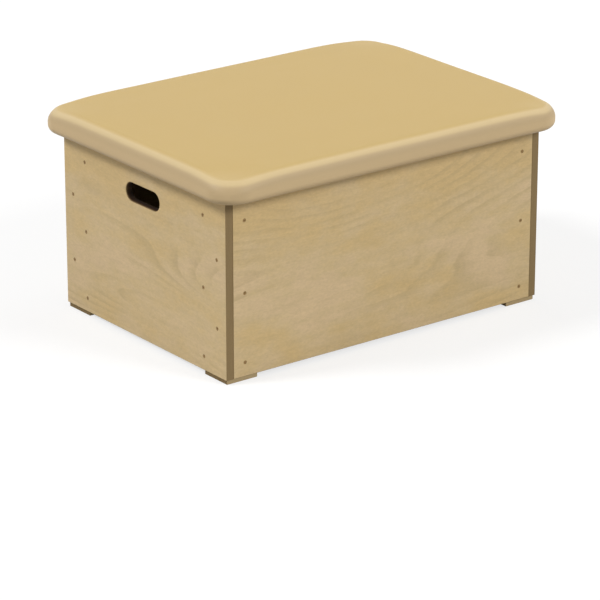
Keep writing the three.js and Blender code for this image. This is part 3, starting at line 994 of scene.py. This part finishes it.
def staple_tree():
    """Staples set along a path, each turned a little out of line with it."""
    tree = GeometryTree("hem_staples", "staple_width", "staple_leg", "staple_wire", "staple_spacing")
    wire = tree.value("staple_wire")
    place = tree.node("GeometryNodeInputIndex")
    across = ((place > 1.5) * 2.0 - 1.0) * tree.value("staple_width") * 0.5
    leg = (abs(place - 1.5) > 1.0) * tree.value("staple_leg")
    line = tree.node("GeometryNodeMeshLine", mode="OFFSET", Count=4)
    bent = tree.node("GeometryNodeSetPosition", Geometry=line, Position=tree.vector(across, 0.0, leg))
    path = tree.node("GeometryNodeMeshToCurve", Mesh=bent)
    path = tree.node("GeometryNodeFilletCurve", mode="POLY", Curve=path, Count=4, Radius=wire)
    staple = tree.swept(path, tree.circle(tree.value("sides"), wire * 0.5), 1.0)
    route = tree.node("GeometryNodeMeshToCurve", Mesh=tree.value("Geometry"))
    route = tree.node("GeometryNodeResampleCurve", mode="LENGTH", Curve=route,
                      Length=tree.value("staple_spacing"))
    stand = tree.node("FunctionNodeAlignRotationToVector", axis="X",
                      Vector=tree.node("GeometryNodeInputTangent"))
    tree.scatter(staple, route, stand, "GLOBAL", -STAPLE_SKEW, STAPLE_SKEW)
    return tree


def screw_place(node):
    """Where a screw's head is, which way it faces, and the screw's length and head diameter. Upright
    screws go in from below, and the others from the nearest outside."""
    low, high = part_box(node)
    size = high - low
    axis = max(range(3), key=lambda each: size[each])
    centre = (low + high) / 2
    outward = Vector((0.0, 0.0, 0.0))
    outward[axis] = -1.0 if axis == 2 else math.copysign(1.0, centre[axis])
    return centre + outward * size[axis] / 2, outward, size[axis], size[(axis + 2) % 3]


def on_heads(tree, name, mark, material, sides):
    """A tree's result on the heads of the screws with a mark in their names, and those screws' nodes."""
    nodes = [node for node in SCREW_NODES if mark in node]
    heads, facings, lengths, diameters = zip(*(screw_place(node) for node in nodes))
    carrier = bpy.data.meshes.new(f"{name}_points")
    carrier.from_pydata(heads, [], [])
    outward = carrier.attributes.new("outward", "FLOAT_VECTOR", "POINT")
    for item, facing in zip(outward.data, facings):
        item.vector = facing
    return tree.run(name, carrier, material, sides, length=lengths[0], head=max(diameters)), nodes


class VAULT_OT_screws(bpy.types.Operator):
    """Makes every screw, with its driver recess and thread, as one piece for each kind"""
    bl_idname = "vault.screws"
    bl_label = "Screws"

    def execute(self, context):
        fixings = context.scene.vault_fixings
        tree = screw_tree()
        material = metal_finish("screw_steel", tuple(fixings.screw_metal), grit=2200.0)
        for name, mark, body in (("panel_screws", "_panel_screw_", "box_frame"),
                                 ("foot_screws", "foot_screw_", "box_frame"),
                                 ("batten_screws", "_batten_screw_", "padded_top")):
            screws, nodes = on_heads(tree, name, mark, material, SCREW_SIDES)
            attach(screws, body)
            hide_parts(*nodes)
        # The dark rings round the panel screws' heads are painted shadow.
        shadow_rings, _ = on_heads(shadow_ring_tree(), "screw_rims", "_panel_screw_", shadow_ring_finish(), SHADOW_RING_SIDES)
        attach(shadow_rings, "box_frame")
        return {"FINISHED"}


class VAULT_OT_staples(bpy.types.Operator):
    """Makes the staples that hold the cover's hem to the deck board"""
    bl_idname = "vault.staples"
    bl_label = "Hem staples"

    def execute(self, context):
        fixings = context.scene.vault_fixings
        pad = context.scene.vault_pad
        middle = pad.hem_fold * 0.5
        ring = level_ring(pad.hem_width - middle, pad.hem_corner + middle, COVER_FINENESS)
        level = COVER_LOW.z - HEM_FOLD_DEPTH - fixings.staple_wire * 0.3
        edges = [(place, (place + 1) % len(ring)) for place in range(len(ring))]
        carrier = bpy.data.meshes.new("staple_route")
        carrier.from_pydata(raise_ring(ring, level), edges, [])
        material = metal_finish("staple_steel", tuple(fixings.staple_metal), grit=3000.0)
        staples = staple_tree().run("hem_staples", carrier, material, WIRE_SIDES)
        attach(staples, "padded_top")
        return {"FINISHED"}


def direction(azimuth, elevation):
    """The way towards a lamp or camera: azimuth 0 is in front of the box, 90 degrees to its right. Both
    angles are in radians."""
    level = math.cos(elevation)
    return Vector((math.sin(azimuth) * level, -math.cos(azimuth) * level, math.sin(elevation)))


def add_facing(name, data, towards):
    """A lamp or camera in the scene that looks from a direction towards the middle."""
    obj = add_object(name, data)
    obj.rotation_mode = "QUATERNION"
    obj.rotation_quaternion = towards.to_track_quat("Z", "Y")
    return obj


def seen(nodes):
    """1 where a ray shows a surface to the eye, directly, mirrored or through glass, and 0 otherwise."""
    path = nodes.node("ShaderNodeLightPath", output="Is Camera Ray")
    shown = nodes.maths("MAXIMUM", path, path.part("Is Glossy Ray"))
    return nodes.maths("MAXIMUM", shown, path.part("Is Transmission Ray"))


def floor_finish(stage):
    """A pale floor with a trace of mottling that keeps a soft shadow and is clear from underneath."""
    surface = Surface("studio_floor")
    cloud = surface.noise(surface.coordinates, 1.5, detail=3.0)
    base = surface.shade(tuple(stage.floor_colour), 0.99 + cloud * 0.02)
    lit = surface.node("ShaderNodeBsdfDiffuse", Color=base)
    white = surface.node("ShaderNodeEmission", Color=WHITE, Strength=1.0)
    pale = surface.node("ShaderNodeMixShader", stage.floor_glow, lit, white)
    aside = abs(surface.place["X"]) - SIDE_HIGH.x
    behind = abs(surface.place["Y"]) - FRAME_HALF_DEPTH
    open_floor = surface.maths("MAXIMUM", aside, behind).smooth(-0.02, 0.0)
    camera = surface.node("ShaderNodeLightPath", output="Is Camera Ray")
    shown = surface.maths("MAXIMUM", camera, seen(surface) * open_floor)
    bounce = surface.node("ShaderNodeBsdfDiffuse", Color=(*stage.floor_bounce, 1.0))
    floor = surface.node("ShaderNodeMixShader", shown, bounce, pale)
    clear = surface.node("ShaderNodeBsdfTransparent")
    below = surface.node("ShaderNodeNewGeometry", output="Backfacing")
    surface.node("ShaderNodeOutputMaterial", surface.node("ShaderNodeMixShader", below, floor, clear))
    return surface.material


def studio_world(stage):
    """Even light from all round, and plain white where the world is seen."""
    world = bpy.data.worlds.new("studio")
    world.use_nodes = True
    world.node_tree.nodes.clear()
    sky = Nodes(world.node_tree)
    light = sky.node("ShaderNodeBackground", Color=WHITE, Strength=stage.sky)
    white = sky.node("ShaderNodeBackground", Color=WHITE, Strength=1.0)
    sky.node("ShaderNodeOutputWorld", sky.node("ShaderNodeMixShader", seen(sky), light, white))
    return world


class VAULT_OT_stage(bpy.types.Operator):
    """Makes the floor, the light and the camera"""
    bl_idname = "vault.stage"
    bl_label = "Stage"

    def execute(self, context):
        scene = context.scene
        stage = scene.vault_stage
        mesh = bmesh.new()
        bmesh.ops.create_circle(mesh, cap_ends=True, segments=FLOOR_SIDES, radius=stage.floor_radius)
        add_object("floor", free_mesh("floor", mesh), floor_finish(stage))

        for name, (azimuth, elevation, spread) in LAMPS.items():
            data = bpy.data.lights.new(name, "SUN")
            data.energy = getattr(stage, name)
            data.angle = math.radians(spread)
            towards = direction(math.radians(azimuth), math.radians(elevation))
            add_facing(name, data, towards).location = towards * LAMP_DISTANCE

        scene.world = studio_world(stage)
        data = bpy.data.cameras.new("camera")
        data.lens = stage.lens
        data.clip_end = 100.0
        scene.camera = add_facing("camera", data, direction(stage.azimuth, stage.elevation))
        scene.camera.location = stage.camera_place
        scene.view_settings.view_transform = "Standard"
        return {"FINISHED"}


OPERATORS = (VAULT_OT_stage, VAULT_OT_panels, VAULT_OT_timber, VAULT_OT_feet, VAULT_OT_deck,
             VAULT_OT_foam, VAULT_OT_cover, VAULT_OT_screws, VAULT_OT_staples)
SETTINGS = {"vault_woods": WoodSettings, "vault_pad": PadSettings, "vault_fixings": FixingSettings,
            "vault_stage": StageSettings}


class VAULT_PT_sidebar(bpy.types.Panel):
    """Lists the steps that dress the box, and their settings"""
    bl_idname = "VAULT_PT_sidebar"
    bl_label = "Vaulting Box"
    bl_space_type = "VIEW_3D"
    bl_region_type = "UI"
    bl_category = "Vaulting Box"

    def draw(self, context):
        for operator in OPERATORS:
            self.layout.operator(operator.bl_idname)
        for name, group in SETTINGS.items():
            box = self.layout.box()
            for setting in group.__annotations__:
                box.prop(getattr(context.scene, name), setting)


def register():
    for group in SETTINGS.values():
        bpy.utils.register_class(group)
    for name, group in SETTINGS.items():
        setattr(bpy.types.Scene, name, bpy.props.PointerProperty(type=group))
    for operator in OPERATORS:
        bpy.utils.register_class(operator)
    bpy.utils.register_class(VAULT_PT_sidebar)


def unregister():
    bpy.utils.unregister_class(VAULT_PT_sidebar)
    for operator in reversed(OPERATORS):
        bpy.utils.unregister_class(operator)
    for name, group in SETTINGS.items():
        delattr(bpy.types.Scene, name)
        bpy.utils.unregister_class(group)


def main():
    register()
    for operator in OPERATORS:
        group, name = operator.bl_idname.split(".")
        getattr(getattr(bpy.ops, group), name)()


if __name__ == "__main__":
    main()
